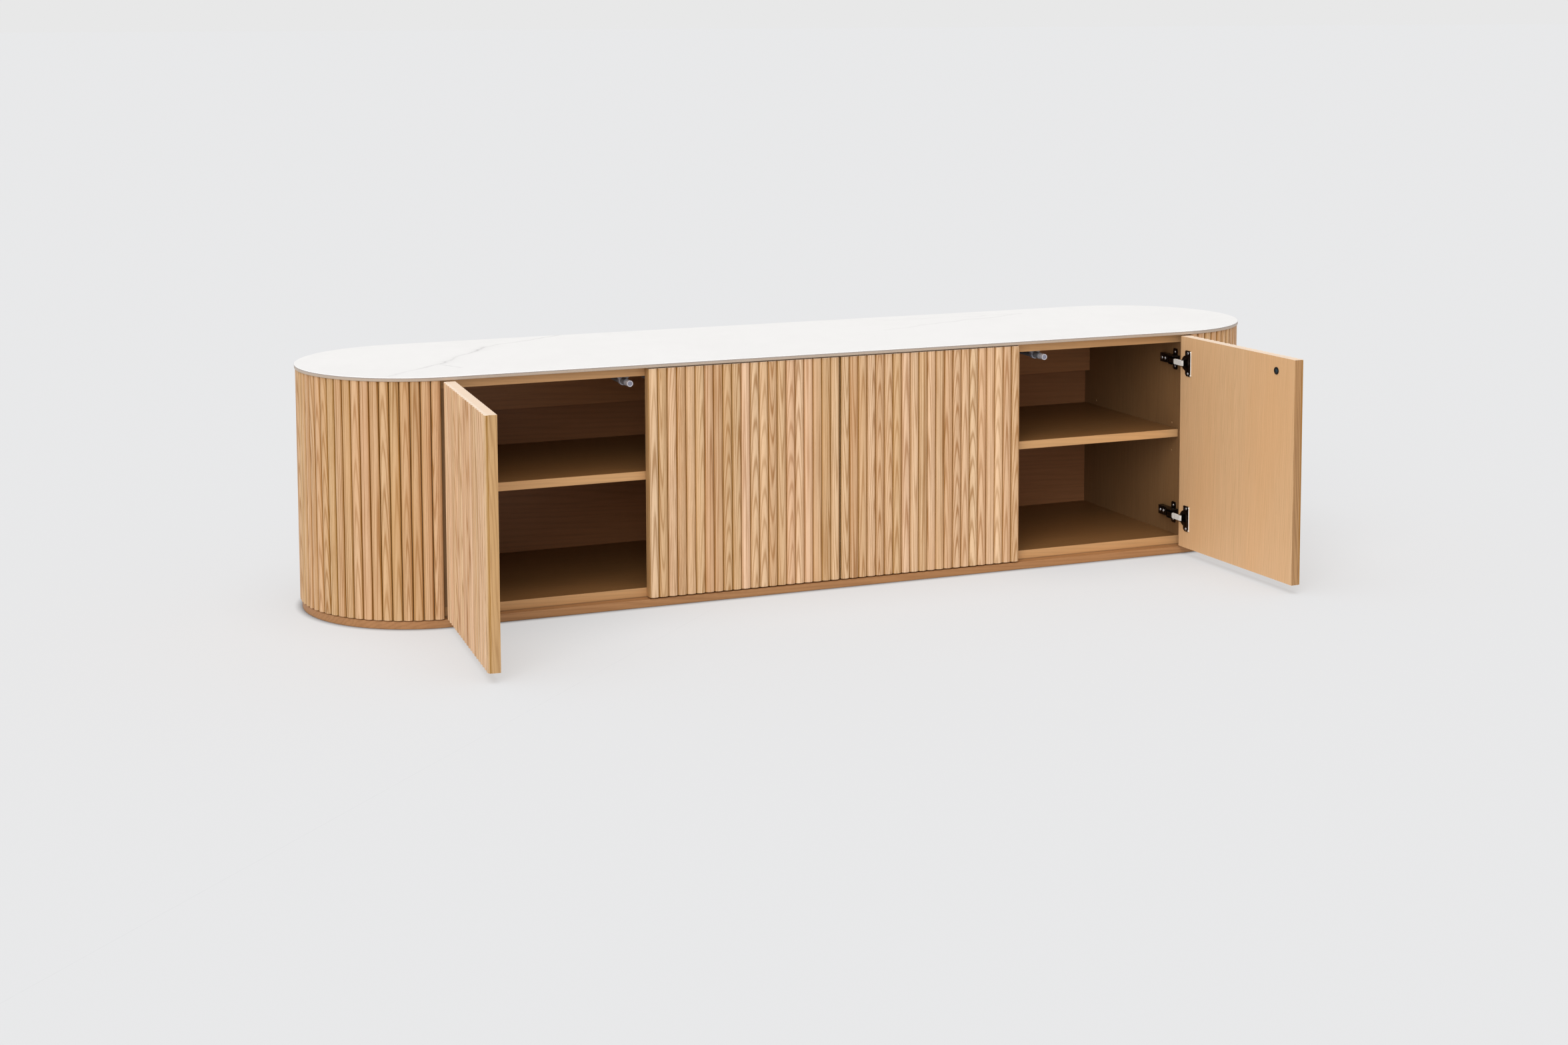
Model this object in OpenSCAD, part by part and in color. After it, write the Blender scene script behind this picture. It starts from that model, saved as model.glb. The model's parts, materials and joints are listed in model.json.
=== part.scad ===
// Low media cabinet with half-round ends, a thin ceramic top and four reeded doors.
// Z is up and the doors face -Y. The origin is on the floor under the middle of the cabinet.
// The two outer doors stand open and the two middle doors are shut.

/* [Cabinet] */
// Overall length, from one round end to the other
total_length = 2200; // [2000:10:2400]
// Overall depth, which is also the diameter of the round ends
total_depth = 510; // [480:5:560]
// Overall height, floor to the upper face of the top
total_height = 508; // [460:1:560]
// Thickness of the ceramic top
top_t = 8; // [6:1:12]
// Thickness of the plinth plate
plinth_t = 16; // [12:1:20]
// How far the plinth stands in from the edge of the top
plinth_inset = 6; // [4:1:12]
// Thickness of the carcass boards
board_t = 20; // [18:1:22]
// Thickness of the back panels
back_t = 9; // [6:1:12]
// How far the back panels stand in from the rear edges of the carcass boards
back_inset = 30; // [0:5:60]
// Thickness of the bent board behind the end slats
shell_t = 9; // [6:1:12]

/* [Doors] */
// Thickness of a door panel without its slats
door_panel_t = 17; // [16:1:20]
// Height of a slat off the panel behind it
slat_t = 7.5; // [6:0.5:9]
// Slats on each door
slats_per_door = 21; // [17:1:25]
// Slats round each half-round end
slats_per_end = 36; // [30:1:40]
// Rise of a slat's crown above its shoulders
slat_crown = 4; // [2:0.5:5]
// Gap between neighbouring door slats
door_slat_gap = 0.6; // [0.4:0.1:1.2]
// Gap between neighbouring end slats
end_slat_gap = 1.2; // [0.6:0.1:2]
// Gap between a door and its neighbours
door_gap = 3; // [2:0.5:4]
// Angle at which the left outer door stands open
left_door_angle = 94.5; // [0:0.5:105]
// Angle at which the right outer door stands open
right_door_angle = 91.5; // [0:0.5:105]

/* [Interior] */
// Thickness of the shelves
shelf_t = 18; // [16:1:22]
// Height of the underside of the shelves
shelf_z = 262; // [220:2:300]
// Height of the rails under the top at the back
rail_h = 120; // [80:5:140]
// Diameter of the cable hole in each back panel
cable_hole_d = 60; // [40:5:80]

/* [Fittings] */
// Diameter of a hinge cup
cup_d = 35; // [26:1:35]
// Distance from a door's end to the middle of each hinge
hinge_end_gap = 65; // [60:5:90]
// Diameter of a latch body
latch_d = 14; // [12:1:16]
// Distance a plunger comes out when its door is fully open
plunger_travel = 12; // [8:1:16]
// Distance from the free edge to the latch on the two left doors
left_latch_setback = 32; // [24:1:80]
// Distance from the free edge to the latch on the two right doors
right_latch_setback = 65; // [24:1:80]

/* [Hidden] */
$fn = 96;

oak = [0.80, 0.63, 0.45];
dark_oak = [0.42, 0.29, 0.17];
ceramic_white = [0.94, 0.93, 0.92];
black_nickel = [0.12, 0.10, 0.09];
steel = [0.75, 0.75, 0.76];
grey_plastic = [0.45, 0.46, 0.48];
white_plastic = [0.92, 0.91, 0.88];

// Plan of the whole: a straight middle and two half rounds.
end_r = total_depth / 2;
straight_half = total_length / 2 - end_r;
top_overhang = 2;
crest_r = end_r - top_overhang;
shell_r = crest_r - slat_t;
former_r = shell_r - shell_t;
top_chamfer = 0.8;
hole_play = 0.05;
// Clear space round a pin or rod that turns or slides in its bore.
running_play = 0.05;
// Clear space kept between the straight boards and the bent ones.
shell_clear = 2;
// Length by which a cutting solid runs past the face that it cuts.
over = 1;

// The doors run a little past the start of the half rounds.
door_overrun = 16;
door_run = straight_half + door_overrun;
door_pitch = door_run / 2;
door_w = door_pitch - door_gap;
slat_pitch = door_w / slats_per_door;
front_y = -crest_r;
inner_y = front_y + slat_t + door_panel_t;
door_t = slat_t + door_panel_t;
buffer_gap = 2.5;
carcass_y = inner_y + buffer_gap;
carcass_rear_y = former_r - shell_clear;
back_y = carcass_rear_y - back_inset;
lip_y = -former_r + shell_clear;

// Heights of the boards and the doors.
under_top = total_height - top_t;
ceiling_z = under_top - board_t;
floor_z = plinth_t + board_t;
door_foot_gap = 3;
door_head_gap = 2.5;
door_bottom = plinth_t + door_foot_gap;
door_top = under_top - door_head_gap;
door_h = door_top - door_bottom;
end_slat_foot_gap = 2;
end_slat_bottom = plinth_t + end_slat_foot_gap;

// The walls, whose inner faces stand wall_reveal inside the door edges beside them.
wall_reveal = board_t / 2 - door_gap / 2;
side_inner = door_run - door_gap / 2 - wall_reveal;
side_outer = side_inner + board_t;
end_slat_x = door_run + door_gap / 2;
end_start = asin((end_slat_x - straight_half) / crest_r);
end_step = (180 - 2 * end_start) / slats_per_end;

// Shelf pins and the holes for them.
pin_r = 2.5;
pin_l = 16;
pin_hole_depth = 8.5;
pin_hole_step = 32;
pin_z = shelf_z - pin_r;
pin_front_inset = 32;
pin_rear_inset = 55;
pin_front_y = carcass_y + pin_front_inset;
pin_rear_y = back_y - pin_rear_inset;
shelf_play = 1;
shelf_setback = 5;

// The back panels, which meet in the middle, and their cable holes.
back_end_gap = 0.5;
cable_hole_x = 110;
cable_hole_z = 95;

// Dowels that join the uprights to the two long boards.
dowel_r = 4;
dowel_board_depth = 12;
dowel_panel_depth = 20;
dowel_inset = 60;

// Hinges, in the frame of a shut door: x runs from the hinge edge, y from the slat crests inwards.
lower_hinge_raise = 2;
upper_hinge_raise = 6;
hinge_heights = [
    door_bottom + hinge_end_gap + lower_hinge_raise, door_top - hinge_end_gap + upper_hinge_raise
];
cup_r = cup_d / 2;
cup_edge_gap = 5;
cup_x = cup_edge_gap + cup_r;
cup_depth = 11.5;
cup_wall = 1.2;
flange_t = 1.5;
flange_x = [19, 40];
flange_h = 58;
trim_w = 1.4;
trim_h = 56;
mouth_x = [10, 30];
mouth_h = 18;
cup_screw_x = 30;
cup_screw_z = 23;
link_x = 18;
link_rise = 8;
link_y = door_t + link_rise;
link_t = 4;
link_h = 13;
link_l = 56;
ear_z = 6.9;
ear_t = 1;
ear_r = 3;
link_pin_r = 1.2;
plate_t = 1.5;
plate_h = 48;
plate_y = [38, 56];
plate_mid_y = (plate_y[0] + plate_y[1]) / 2;
arm_front_y = carcass_y - front_y;
arm_l = 68;
arm_web_t = 1.5;
cheek_z = 8.5;
cheek_t = 1.5;
cheek_front_x = 30;
cheek_rear_x = 19;
cheek_front_l = 16;
cheek_taper_end = 34;
screw_head_r = 3.2;
screw_head_t = 1.3;
screw_r = 1.6;
plate_screw_z = 16;
plate_screw_depth = 8.5;
cup_screw_depth = 11;
cup_screw_l = 10;

// Push latches under the carcass top.
latch_drop = 13;
latch_z = ceiling_z - latch_drop;
latch_r = latch_d / 2;
latch_front_inset = 10;
latch_l = 86;
latch_front_y = carcass_y + latch_front_inset;
latch_bore_l = 70;
plunger_r = 5.5;
plunger_head_r = 6.5;
plunger_head_l = 8;
plunger_l = 72;
plunger_clear = 0.3;
clip_inset = 28;
clip_y = latch_front_y + clip_inset;
clip_l = 12;
clip_wall = 2;
clip_r = latch_r + clip_wall;
clip_plate_l = 46;
clip_plate_w = 18;
clip_plate_t = 2;
clip_screw_x = 18;
latch_screw_l = 12;
latch_screw_depth = latch_screw_l - clip_plate_t;
strike_r = 8;
strike_t = 1.5;
strike_shank_r = 5;
strike_shank_l = 8;
open_limit = 105;

// Doors from left to right: hinge edge, hand (1 where the hinge is on the left) and angle at rest.
edge = door_gap / 2;
door_edge_x = [-door_run + edge, -edge, edge, door_run - edge];
door_hand = [1, -1, 1, -1];
door_angle = [left_door_angle, 0, 0, right_door_angle];
latch_setback = [left_latch_setback, left_latch_setback, right_latch_setback, right_latch_setback];

function latch_x(i) = door_edge_x[i] + door_hand[i] * (door_w - latch_setback[i]);
function plunger_out(i) = plunger_travel * door_angle[i] / open_limit;

// A box between two corners.
module box(lo, hi) {
    translate(lo) cube(hi - lo);
}

// A round-ended plate of half width r, with both its edges chamfered by c.
module stadium_plate(r, z, t, c) {
    for (side = [-1, 1])
        translate([side * straight_half, 0, z]) {
            cylinder(h = c, r1 = r - c, r2 = r);
            translate([0, 0, c]) cylinder(h = t - 2 * c, r = r);
            translate([0, 0, t - c]) cylinder(h = c, r1 = r, r2 = r - c);
        }
    translate([-straight_half, 0, z])
        rotate([90, 0, 90])
            linear_extrude(height = 2 * straight_half)
                polygon([
                    [-r + c, 0], [r - c, 0], [r, c], [r, t - c],
                    [r - c, t], [-r + c, t], [-r, t - c], [-r, c]
                ]);
}

// Moves a left-hung, shut door's frame to the place of door i, opened by angle a.
module at_door(i, a) {
    translate([door_edge_x[i], front_y, 0])
        if (door_hand[i] > 0) {
            rotate([0, 0, -a]) children();
        } else {
            mirror([1, 0, 0]) rotate([0, 0, -a]) children();
        }
}

// Repeats a fitting at both hinge heights.
module at_hinges() {
    for (z = hinge_heights)
        translate([0, 0, z]) children();
}

// One slat, standing on z = 0: flat back on y = 0 and a crowned face towards -y.
module slat(w, h) {
    crown_r = (w * w / 4 + slat_crown * slat_crown) / (2 * slat_crown);
    intersection() {
        translate([-w / 2, -slat_t, 0]) cube([w, slat_t, h]);
        translate([0, crown_r - slat_t, 0]) cylinder(h = h, r = crown_r);
    }
}

module ceramic_top() {
    color(ceramic_white) stadium_plate(end_r, under_top, top_t, top_chamfer);
}

module plinth() {
    color(oak) stadium_plate(end_r - plinth_inset, 0, plinth_t, top_chamfer);
}

// Dowel positions along the depth, and the uprights that they join to the long boards.
dowel_ys = [carcass_y + dowel_inset, (carcass_y + back_y) / 2, back_y - dowel_inset];
upright_xs = [-(side_inner + side_outer) / 2, 0, (side_inner + side_outer) / 2];

module carcass_dowels_at(r, board_depth, panel_depth) {
    for (x = upright_xs, y = dowel_ys) {
        translate([x, y, floor_z - board_depth]) cylinder(h = board_depth + panel_depth, r = r);
        translate([x, y, ceiling_z - panel_depth]) cylinder(h = board_depth + panel_depth, r = r);
    }
}

module carcass_dowels() {
    color(oak) carcass_dowels_at(dowel_r, dowel_board_depth, dowel_panel_depth);
}

module dowel_holes() {
    carcass_dowels_at(dowel_r + hole_play, dowel_board_depth + over, dowel_panel_depth + over);
}

module latch_screw_holes() {
    for (i = [0 : 3], side = [-1, 1])
        translate([latch_x(i) + side * clip_screw_x, clip_y, ceiling_z - over])
            cylinder(h = latch_screw_depth + over, r = screw_r);
}

module carcass_bottom() {
    color(oak)
        difference() {
            box([-side_outer, carcass_y, plinth_t], [side_outer, carcass_rear_y, floor_z]);
            dowel_holes();
        }
}

module carcass_top() {
    color(oak)
        difference() {
            box([-side_outer, carcass_y, ceiling_z], [side_outer, carcass_rear_y, under_top]);
            dowel_holes();
            latch_screw_holes();
        }
}

// Three shelf-pin holes one above another, near the front and near the back.
module pin_holes(x, depth) {
    for (y = [pin_front_y, pin_rear_y], k = [-1, 0, 1])
        translate([x, y, pin_z + k * pin_hole_step])
            rotate([0, 90, 0])
                cylinder(h = depth, r = pin_r + hole_play);
}

module plate_screw_holes(i) {
    at_door(i, 0)
        at_hinges()
            for (side = [-1, 1])
                translate([wall_reveal - plate_screw_depth, plate_mid_y, side * plate_screw_z])
                    rotate([0, 90, 0])
                        cylinder(h = plate_screw_depth + over, r = screw_r);
}

// A side wall with a lip in front that backs the start of the bent end board.
module side_panel(side) {
    color(dark_oak)
        difference() {
            union() {
                box([side > 0 ? side_inner : -side_outer, carcass_y, floor_z],
                    [side > 0 ? side_outer : -side_inner, carcass_rear_y, ceiling_z]);
                box([side > 0 ? end_slat_x : -side_outer, lip_y, floor_z],
                    [side > 0 ? side_outer : -end_slat_x, carcass_y, ceiling_z]);
            }
            pin_holes(side > 0 ? side_inner - over : -side_inner - pin_hole_depth, pin_hole_depth + over);
            dowel_holes();
            plate_screw_holes(side > 0 ? 3 : 0);
        }
}

module side_panel_left() {
    side_panel(-1);
}

module side_panel_right() {
    side_panel(1);
}

module centre_partition() {
    color(dark_oak)
        difference() {
            box([-board_t / 2, carcass_y, floor_z], [board_t / 2, back_y, ceiling_z]);
            pin_holes(-board_t / 2 - over, pin_hole_depth + over);
            pin_holes(board_t / 2 - pin_hole_depth, pin_hole_depth + over);
            dowel_holes();
            plate_screw_holes(1);
            plate_screw_holes(2);
        }
}

// A back panel, let in between a side wall and the middle of the cabinet.
module back_panel(side) {
    w = side_inner - back_end_gap;
    x = side > 0 ? 0 : -w;
    color(dark_oak)
        difference() {
            box([x, back_y, floor_z], [x + w, back_y + back_t, ceiling_z]);
            translate([side * cable_hole_x, back_y - over, cable_hole_z])
                rotate([-90, 0, 0])
                    cylinder(h = back_t + 2 * over, r = cable_hole_d / 2);
        }
}

module back_panel_left() {
    back_panel(-1);
}

module back_panel_right() {
    back_panel(1);
}

module rear_rail(side) {
    x = side > 0 ? board_t / 2 : -side_inner;
    color(dark_oak)
        box([x, back_y - board_t, ceiling_z - rail_h], [x + side_inner - board_t / 2, back_y, ceiling_z]);
}

module rear_rail_left() {
    rear_rail(-1);
}

module rear_rail_right() {
    rear_rail(1);
}

module shelf(side) {
    w = side_inner - board_t / 2 - 2 * shelf_play;
    x = side > 0 ? board_t / 2 + shelf_play : -side_inner + shelf_play;
    color(oak)
        box([x, carcass_y + shelf_setback, shelf_z], [x + w, back_y - shelf_setback, shelf_z + shelf_t]);
}

module shelf_left() {
    shelf(-1);
}

module shelf_right() {
    shelf(1);
}

// Four pins under each shelf, half in the wall and half out.
module shelf_pins() {
    color(steel)
        for (x = [-side_inner, -board_t / 2, board_t / 2, side_inner], y = [pin_front_y, pin_rear_y])
            translate([x, y, pin_z])
                rotate([0, 90, 0])
                    cylinder(h = pin_l, r = pin_r, center = true);
}

// Half-round boards at the foot and head of a round end.
module end_formers(side) {
    color(oak)
        for (z = [plinth_t, ceiling_z])
            intersection() {
                translate([side * straight_half, 0, z]) cylinder(h = board_t, r = former_r);
                box([side > 0 ? side_outer : -total_length, -end_r, z],
                    [side > 0 ? total_length : -side_outer, end_r, z + board_t]);
            }
}

module end_formers_left() {
    end_formers(-1);
}

module end_formers_right() {
    end_formers(1);
}

// A bent board round the formers.
module end_shell(side) {
    h = under_top - plinth_t;
    color(dark_oak)
        intersection() {
            translate([side * straight_half, 0, plinth_t])
                difference() {
                    cylinder(h = h, r = shell_r);
                    translate([0, 0, -over]) cylinder(h = h + 2 * over, r = former_r);
                }
            box([side > 0 ? end_slat_x : -total_length, -end_r, plinth_t],
                [side > 0 ? total_length : -end_slat_x, end_r, under_top]);
        }
}

module end_shell_left() {
    end_shell(-1);
}

module end_shell_right() {
    end_shell(1);
}

// Upright slats round a half-round end.
module end_slats(side) {
    w = shell_r * end_step * PI / 180 - end_slat_gap;
    color(oak)
        for (k = [0 : slats_per_end - 1])
            translate([side * straight_half, 0, end_slat_bottom])
                rotate([0, 0, side * (end_start + (k + 0.5) * end_step)])
                    translate([0, -shell_r, 0])
                        slat(w, under_top - end_slat_bottom);
}

module end_slats_left() {
    end_slats(-1);
}

module end_slats_right() {
    end_slats(1);
}

// Wing plates on the walls, two to a door.
module hinge_plates() {
    color(black_nickel)
        for (i = [0 : 3])
            at_door(i, 0)
                at_hinges()
                    difference() {
                        box([wall_reveal, plate_y[0], -plate_h / 2],
                            [wall_reveal + plate_t, plate_y[1], plate_h / 2]);
                        for (side = [-1, 1])
                            translate([wall_reveal - over, plate_mid_y, side * plate_screw_z])
                                rotate([0, 90, 0])
                                    cylinder(h = plate_t + 2 * over, r = screw_r);
                    }
}

// A channel open away from the wall: a web with a cheek above and below it.
module hinge_arms() {
    x = wall_reveal + plate_t;
    rear_y = arm_front_y + arm_l;
    color(black_nickel)
        for (i = [0 : 3])
            at_door(i, 0)
                at_hinges() {
                    box([x, arm_front_y, -cheek_z - cheek_t], [x + arm_web_t, rear_y, cheek_z + cheek_t]);
                    for (z = [-cheek_z - cheek_t, cheek_z])
                        translate([0, 0, z])
                            linear_extrude(height = cheek_t)
                                polygon([
                                    [x, arm_front_y], [cheek_front_x, arm_front_y],
                                    [cheek_front_x, arm_front_y + cheek_front_l],
                                    [cheek_rear_x, arm_front_y + cheek_taper_end],
                                    [cheek_rear_x, rear_y], [x, rear_y]
                                ]);
                }
}

module hinge_plate_screws() {
    color(steel)
        for (i = [0 : 3])
            at_door(i, 0)
                at_hinges()
                    for (side = [-1, 1])
                        translate([wall_reveal, plate_mid_y, side * plate_screw_z])
                            rotate([0, 90, 0]) {
                                translate([0, 0, -plate_screw_depth])
                                    cylinder(h = plate_screw_depth + plate_t, r = screw_r);
                                translate([0, 0, plate_t]) cylinder(h = screw_head_t, r = screw_head_r);
                            }
}

// Plain tubes, shut at the back, that lie front to back under the carcass top.
module latch_bodies() {
    color(grey_plastic)
        for (i = [0 : 3])
            translate([latch_x(i), latch_front_y, latch_z])
                rotate([-90, 0, 0])
                    difference() {
                        cylinder(h = latch_l, r = latch_r);
                        translate([0, 0, -over])
                            cylinder(h = latch_bore_l + over, r = plunger_r + running_play);
                    }
}

module latch_clips() {
    color(grey_plastic)
        for (i = [0 : 3])
            translate([latch_x(i), clip_y, 0])
                difference() {
                    union() {
                        translate([0, -clip_l / 2, latch_z])
                            rotate([-90, 0, 0])
                                cylinder(h = clip_l, r = clip_r);
                        box([-clip_r, -clip_l / 2, latch_z],
                            [clip_r, clip_l / 2, ceiling_z - clip_plate_t]);
                        box([-clip_plate_l / 2, -clip_plate_w / 2, ceiling_z - clip_plate_t],
                            [clip_plate_l / 2, clip_plate_w / 2, ceiling_z]);
                    }
                    translate([0, -clip_l, latch_z])
                        rotate([-90, 0, 0])
                            cylinder(h = 2 * clip_l, r = latch_r);
                    for (side = [-1, 1])
                        translate([side * clip_screw_x, 0, ceiling_z - clip_plate_t - over])
                            cylinder(h = clip_plate_t + 2 * over, r = screw_r);
                }
}

module latch_screws() {
    color(steel)
        for (i = [0 : 3], side = [-1, 1])
            translate([latch_x(i) + side * clip_screw_x, clip_y, ceiling_z - clip_plate_t]) {
                cylinder(h = latch_screw_l, r = screw_r);
                translate([0, 0, -screw_head_t]) cylinder(h = screw_head_t, r = screw_head_r);
            }
}

// A door panel, bored for its two hinge cups, their screws and the strike.
module door_panel(i) {
    color(oak)
        at_door(i, door_angle[i])
            difference() {
                box([0, slat_t, door_bottom], [door_w, door_t, door_top]);
                at_hinges() {
                    translate([cup_x, door_t + over, 0])
                        rotate([90, 0, 0])
                            cylinder(h = cup_depth + over, r = cup_r);
                    for (side = [-1, 1])
                        translate([cup_screw_x, door_t + over, side * cup_screw_z])
                            rotate([90, 0, 0])
                                cylinder(h = cup_screw_depth + over, r = screw_r);
                }
                translate([door_w - latch_setback[i], door_t + over, latch_z])
                    rotate([90, 0, 0])
                        cylinder(h = strike_shank_l + over, r = strike_shank_r);
            }
}

module door_slats(i) {
    color(oak)
        at_door(i, door_angle[i])
            for (k = [0 : slats_per_door - 1])
                translate([(k + 0.5) * slat_pitch, slat_t, door_bottom])
                    slat(slat_pitch - door_slat_gap, door_h);
}

// A cup sunk in the door, its flange, and two ears that carry the link's pin.
module hinge_cup() {
    difference() {
        union() {
            translate([cup_x, door_t + flange_t, 0])
                rotate([90, 0, 0])
                    cylinder(h = cup_depth + flange_t, r = cup_r);
            box([flange_x[0], door_t, -flange_h / 2], [flange_x[1], door_t + flange_t, flange_h / 2]);
        }
        intersection() {
            translate([cup_x, door_t + flange_t + over, 0])
                rotate([90, 0, 0])
                    cylinder(h = cup_depth + flange_t + over - cup_wall, r = cup_r - cup_wall);
            box([mouth_x[0], 0, -mouth_h / 2], [mouth_x[1], door_t + flange_t + over, mouth_h / 2]);
        }
        for (side = [-1, 1])
            translate([cup_screw_x, door_t + flange_t + over, side * cup_screw_z])
                rotate([90, 0, 0])
                    cylinder(h = flange_t + 2 * over, r = screw_r);
    }
    ear_foot = door_t - cup_depth + cup_wall;
    for (z = [-ear_z - ear_t, ear_z]) {
        box([link_x - ear_r, ear_foot, z], [link_x + ear_r, link_y, z + ear_t]);
        translate([link_x, link_y, z]) cylinder(h = ear_t, r = ear_r);
    }
    translate([link_x, link_y, -ear_z - ear_t]) cylinder(h = 2 * (ear_z + ear_t), r = link_pin_r);
}

module door_hinge_cups(i) {
    color(black_nickel)
        at_door(i, door_angle[i])
            at_hinges()
                hinge_cup();
}

module door_hinge_trims(i) {
    color(white_plastic)
        at_door(i, door_angle[i])
            at_hinges()
                box([flange_x[1], door_t, -trim_h / 2],
                    [flange_x[1] + trim_w, door_t + flange_t, trim_h / 2]);
}

module door_cup_screws(i) {
    color(steel)
        at_door(i, door_angle[i])
            at_hinges()
                for (side = [-1, 1])
                    translate([cup_screw_x, door_t + flange_t, side * cup_screw_z])
                        rotate([90, 0, 0]) {
                            cylinder(h = flange_t + cup_screw_l, r = screw_r);
                            translate([0, 0, -screw_head_t]) cylinder(h = screw_head_t, r = screw_head_r);
                        }
}

module door_strike(i) {
    color(steel)
        at_door(i, door_angle[i])
            translate([door_w - latch_setback[i], door_t, latch_z])
                rotate([90, 0, 0]) {
                    cylinder(h = strike_shank_l, r = strike_shank_r);
                    translate([0, 0, -strike_t]) cylinder(h = strike_t, r = strike_r);
                }
}

// The links keep their direction while the door turns.
module door_hinge_links(i) {
    a = door_angle[i];
    color(white_plastic)
        at_door(i, a)
            translate([link_x, link_y, 0])
                rotate([0, 0, a])
                    at_hinges()
                        difference() {
                            union() {
                                box([-link_t / 2, 0, -link_h / 2], [link_t / 2, link_l, link_h / 2]);
                                translate([0, 0, -link_h / 2]) cylinder(h = link_h, r = link_t / 2);
                            }
                            translate([0, 0, -link_h])
                                cylinder(h = 2 * link_h, r = link_pin_r + running_play);
                        }
}

// A rod in the latch body with a wider head that meets the strike.
module latch_plunger(i) {
    shut_y = inner_y + strike_t + plunger_clear;
    color(grey_plastic)
        translate([latch_x(i), shut_y - plunger_out(i), latch_z])
            rotate([-90, 0, 0]) {
                cylinder(h = plunger_head_l, r = plunger_head_r);
                cylinder(h = plunger_l, r = plunger_r);
            }
}

ceramic_top();
plinth();
carcass_bottom();
carcass_top();
side_panel_left();
side_panel_right();
centre_partition();
back_panel_left();
back_panel_right();
rear_rail_left();
rear_rail_right();
shelf_left();
shelf_right();
shelf_pins();
end_formers_left();
end_formers_right();
end_shell_left();
end_shell_right();
end_slats_left();
end_slats_right();
carcass_dowels();
hinge_plates();
hinge_arms();
hinge_plate_screws();
latch_bodies();
latch_clips();
latch_screws();
door_panel(0);  // door_1_panel
door_slats(0);  // door_1_slats
door_hinge_cups(0);  // door_1_hinge_cups
door_hinge_trims(0);  // door_1_hinge_trims
door_cup_screws(0);  // door_1_cup_screws
door_strike(0);  // door_1_strike
door_hinge_links(0);  // door_1_hinge_links
latch_plunger(0);  // latch_1_plunger
door_panel(1);  // door_2_panel
door_slats(1);  // door_2_slats
door_hinge_cups(1);  // door_2_hinge_cups
door_hinge_trims(1);  // door_2_hinge_trims
door_cup_screws(1);  // door_2_cup_screws
door_strike(1);  // door_2_strike
door_hinge_links(1);  // door_2_hinge_links
latch_plunger(1);  // latch_2_plunger
door_panel(2);  // door_3_panel
door_slats(2);  // door_3_slats
door_hinge_cups(2);  // door_3_hinge_cups
door_hinge_trims(2);  // door_3_hinge_trims
door_cup_screws(2);  // door_3_cup_screws
door_strike(2);  // door_3_strike
door_hinge_links(2);  // door_3_hinge_links
latch_plunger(2);  // latch_3_plunger
door_panel(3);  // door_4_panel
door_slats(3);  // door_4_slats
door_hinge_cups(3);  // door_4_hinge_cups
door_hinge_trims(3);  // door_4_hinge_trims
door_cup_screws(3);  // door_4_cup_screws
door_strike(3);  // door_4_strike
door_hinge_links(3);  // door_4_hinge_links
latch_plunger(3);  // latch_4_plunger
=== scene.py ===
"""The looks of a low reeded media cabinet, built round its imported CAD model.

Lengths are in metres in the model's own frame: +Z is up and the doors face -Y.
"""

import json
import math
import random

import bmesh
import bpy
from mathutils import Matrix, Vector


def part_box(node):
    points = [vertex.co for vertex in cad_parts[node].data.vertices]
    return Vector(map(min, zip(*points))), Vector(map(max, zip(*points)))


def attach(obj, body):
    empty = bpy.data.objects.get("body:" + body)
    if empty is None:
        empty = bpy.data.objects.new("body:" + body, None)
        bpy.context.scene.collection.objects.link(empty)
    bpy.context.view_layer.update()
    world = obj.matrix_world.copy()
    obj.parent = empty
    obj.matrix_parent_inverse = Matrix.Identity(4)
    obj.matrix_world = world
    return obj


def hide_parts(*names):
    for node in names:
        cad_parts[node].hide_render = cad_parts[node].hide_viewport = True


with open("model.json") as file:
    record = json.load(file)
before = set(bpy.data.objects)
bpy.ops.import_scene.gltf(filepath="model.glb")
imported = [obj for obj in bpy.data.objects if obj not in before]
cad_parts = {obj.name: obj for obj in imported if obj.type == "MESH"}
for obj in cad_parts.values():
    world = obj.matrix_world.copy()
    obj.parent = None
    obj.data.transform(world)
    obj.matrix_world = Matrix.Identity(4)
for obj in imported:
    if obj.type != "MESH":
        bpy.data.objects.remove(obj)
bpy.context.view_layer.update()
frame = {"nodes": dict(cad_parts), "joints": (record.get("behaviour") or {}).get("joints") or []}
joints = {j["name"]: j for j in frame["joints"]}
nodes = frame["nodes"]
rng = random.Random(11)

MM = 0.001
DOORS = (1, 2, 3, 4)
SIDES = {"left": -1, "right": 1}
SLATS_PER_DOOR = 21
SLATS_PER_END = 36


# ---------------------------------------------------------------- sizes taken from the frame


def span(node, axis):
    """The length of a node along one axis."""
    low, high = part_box(node)
    return high[axis] - low[axis]


TOP_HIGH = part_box("ceramic_top")[1]
END_R = TOP_HIGH.y
STRAIGHT_HALF = TOP_HIGH.x - END_R
SLAT_T = span("door_2_slats", 1)
CREST_R = -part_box("door_2_slats")[0].y
SHELL_R = CREST_R - SLAT_T
PANEL_LOW, PANEL_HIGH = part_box("door_2_panel")
DOOR_W = PANEL_HIGH.x - PANEL_LOW.x
DOOR_T = PANEL_HIGH.y + CREST_R
DOOR_FOOT = PANEL_LOW.z
DOOR_HEAD = PANEL_HIGH.z
SLAT_CROWN = 4 * MM
SLAT_EASE = 0.5 * MM
CROWN_STEPS = 12
DOOR_SLAT_GAP = 0.6 * MM
END_SLAT_GAP = 1.2 * MM
END_SLAT_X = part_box("end_shell_right")[0].x
CEILING_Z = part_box("carcass_top")[0].z
PLINTH_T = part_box("plinth")[1].z
WALL_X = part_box("side_panel_right")[0].x
WALL_REVEAL = -joints["door_1_swing"]["pos_m"][0] - WALL_X


# ---------------------------------------------------------------- node materials


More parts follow.
